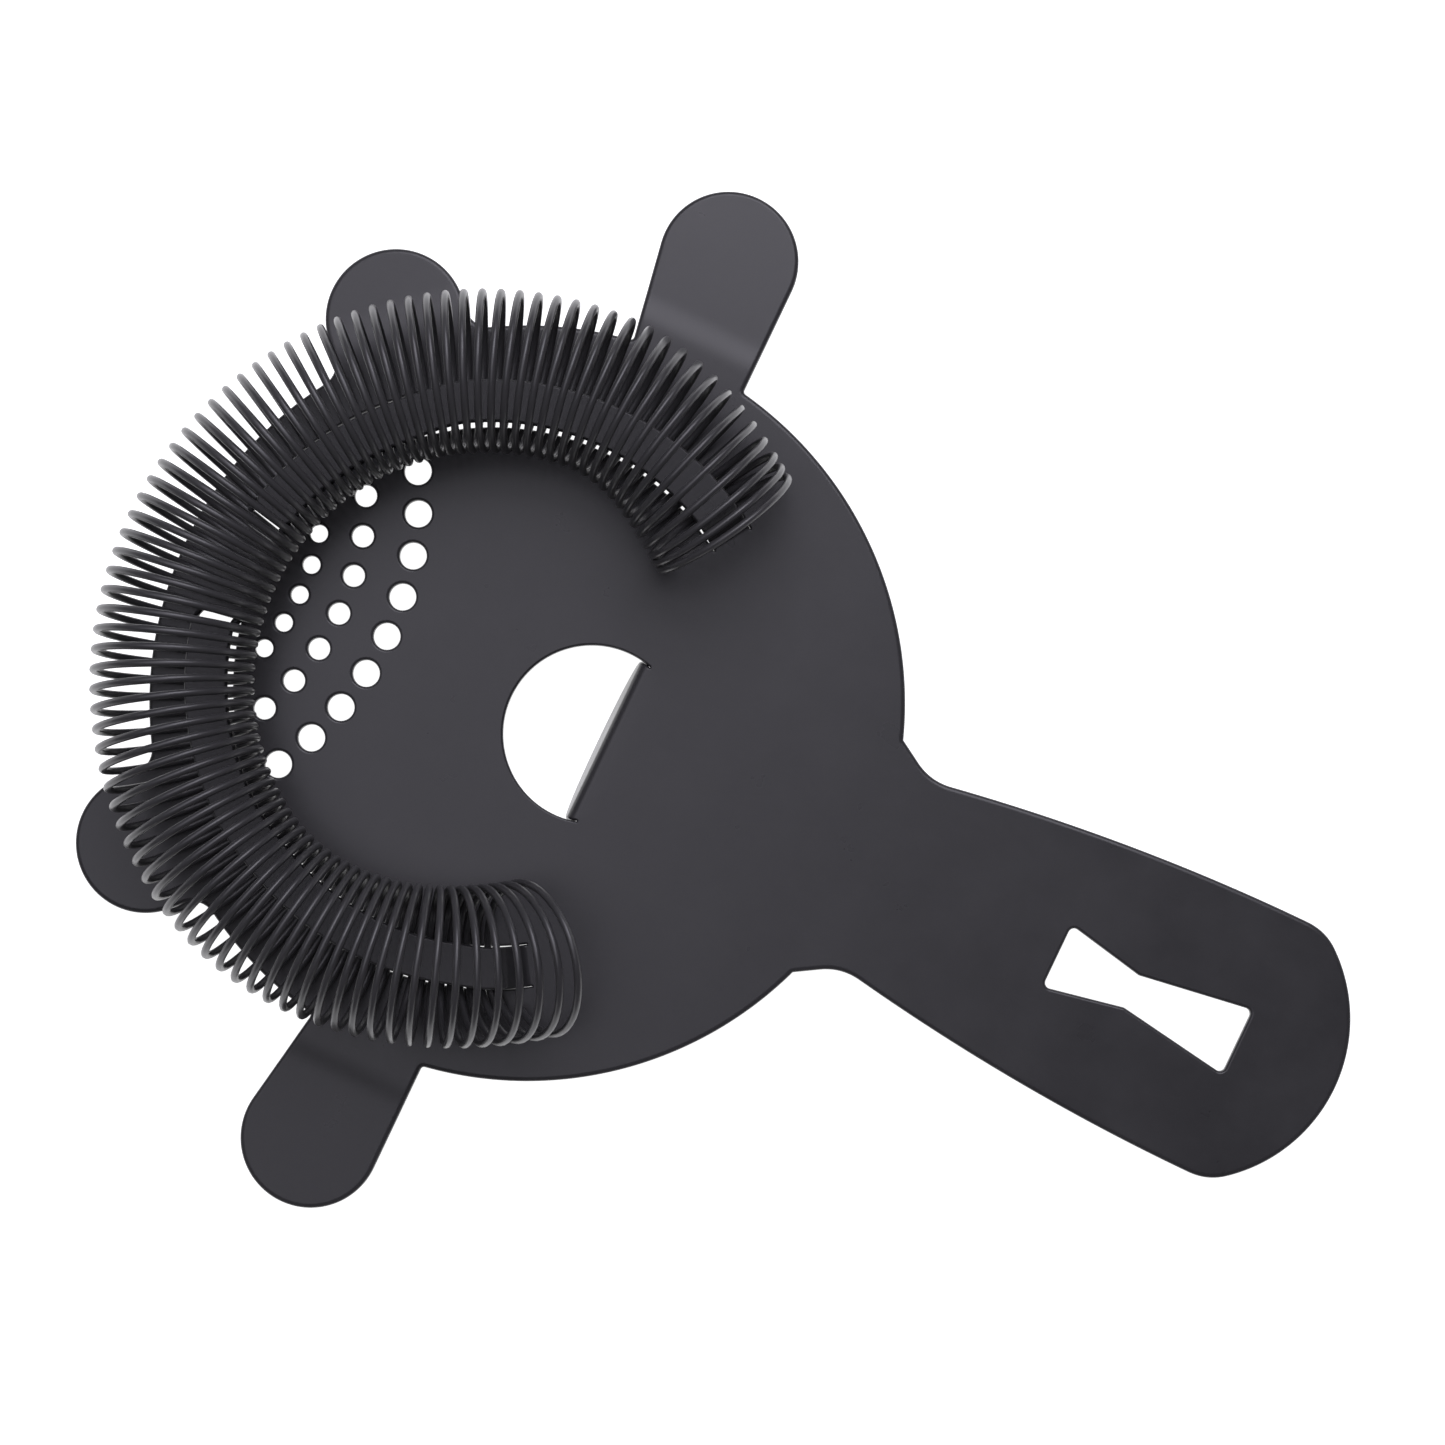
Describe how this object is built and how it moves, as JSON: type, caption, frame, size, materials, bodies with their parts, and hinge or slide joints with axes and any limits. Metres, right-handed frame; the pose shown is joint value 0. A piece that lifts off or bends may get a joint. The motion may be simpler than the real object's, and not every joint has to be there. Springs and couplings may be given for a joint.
{
  "type": "hawthorne strainer",
  "caption": "Matte black cocktail strainer: a pronged, pierced steel disc with a flat handle and a thumb flap, and a coil spring curled round the disc's front.",
  "frame": {"origin": "bottom centre of the bounding box, level with the tip of the thumb flap", "axes": "+X from the disc along the handle, +Y across the disc, +Z to the side that carries the spring"},
  "size_m": [0.1564, 0.1324, 0.0327],
  "materials": {
    "coated_steel": "matte",
    "spring_wire": "satin"
  },
  "bodies": {
    "plate": {"strainer_plate": "coated_steel"},
    "spring": {"coil_spring": "spring_wire"}
  },
  "joints": [
    {"name": "spring_push", "type": "slide", "parent": "plate", "child": "spring", "axis": [1, 0, 0], "range_m": [0, 0.005], "stiffness_N_per_m": 400, "deforming": ["coil_spring"]}
  ]
}
